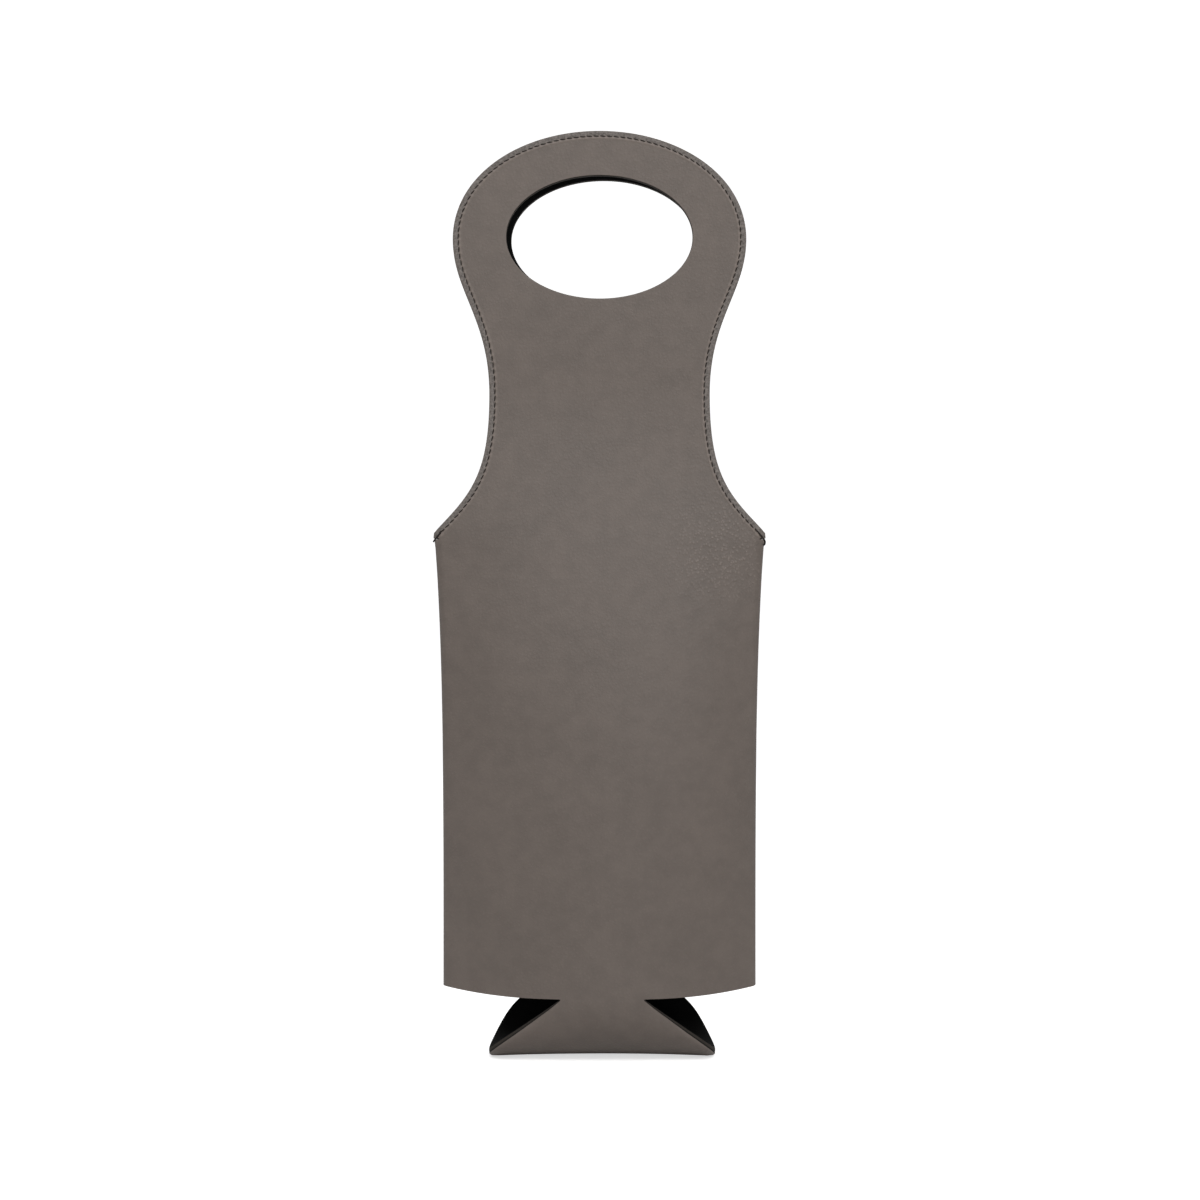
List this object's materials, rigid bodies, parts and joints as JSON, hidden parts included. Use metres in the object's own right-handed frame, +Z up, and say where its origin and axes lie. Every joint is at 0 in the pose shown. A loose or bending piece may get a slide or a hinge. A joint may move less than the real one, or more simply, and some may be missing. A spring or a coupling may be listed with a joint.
{
  "type": "bottle carrier",
  "caption": "Soft leather-look bottle tote: a flat foam-lined sleeve with a hanging round base and two handles that part at the mouth.",
  "frame": {"origin": "centre of the carrier's plan, at the lowest line of the hanging base", "axes": "+Z up towards the handles, +X to the right across the front panel, the front panel faces -Y"},
  "size_m": [0.1392, 0.055, 0.387],
  "materials": {
    "leather_face": "fine pebbled grain, satin",
    "foam_core": "cut foam edge, matt",
    "knit_lining": "black jersey knit, matt",
    "edge_thread": "twisted polyester, slight sheen",
    "seam_thread": "twisted polyester, matt"
  },
  "bodies": {
    "sleeve": {"front_body_face": "leather_face", "front_body_core": "foam_core", "front_body_lining": "knit_lining", "back_body_face": "leather_face", "back_body_core": "foam_core", "back_body_lining": "knit_lining", "base_face": "leather_face", "base_core": "foam_core", "base_lining": "knit_lining", "front_shoulder_stitching": "edge_thread", "back_shoulder_stitching": "edge_thread", "left_seam_stitching": "seam_thread", "right_seam_stitching": "seam_thread", "left_thread_end": "edge_thread", "right_thread_end": "edge_thread"},
    "front_handle": {"front_handle_face": "leather_face", "front_handle_core": "foam_core", "front_handle_lining": "knit_lining", "front_handle_stitching": "edge_thread"},
    "back_handle": {"back_handle_face": "leather_face", "back_handle_core": "foam_core", "back_handle_lining": "knit_lining", "back_handle_stitching": "edge_thread"}
  },
  "joints": [
    {"name": "front_handle_fold", "type": "hinge", "parent": "sleeve", "child": "front_handle", "pos_m": [0, -0.01015, 0.237], "axis": [1, 0, 0], "range_deg": [0, 50], "stiffness_Nm_per_rad": 0.1},
    {"name": "back_handle_fold", "type": "hinge", "parent": "sleeve", "child": "back_handle", "pos_m": [0, 0.01015, 0.237], "axis": [-1, 0, 0], "range_deg": [0, 50], "stiffness_Nm_per_rad": 0.1}
  ]
}
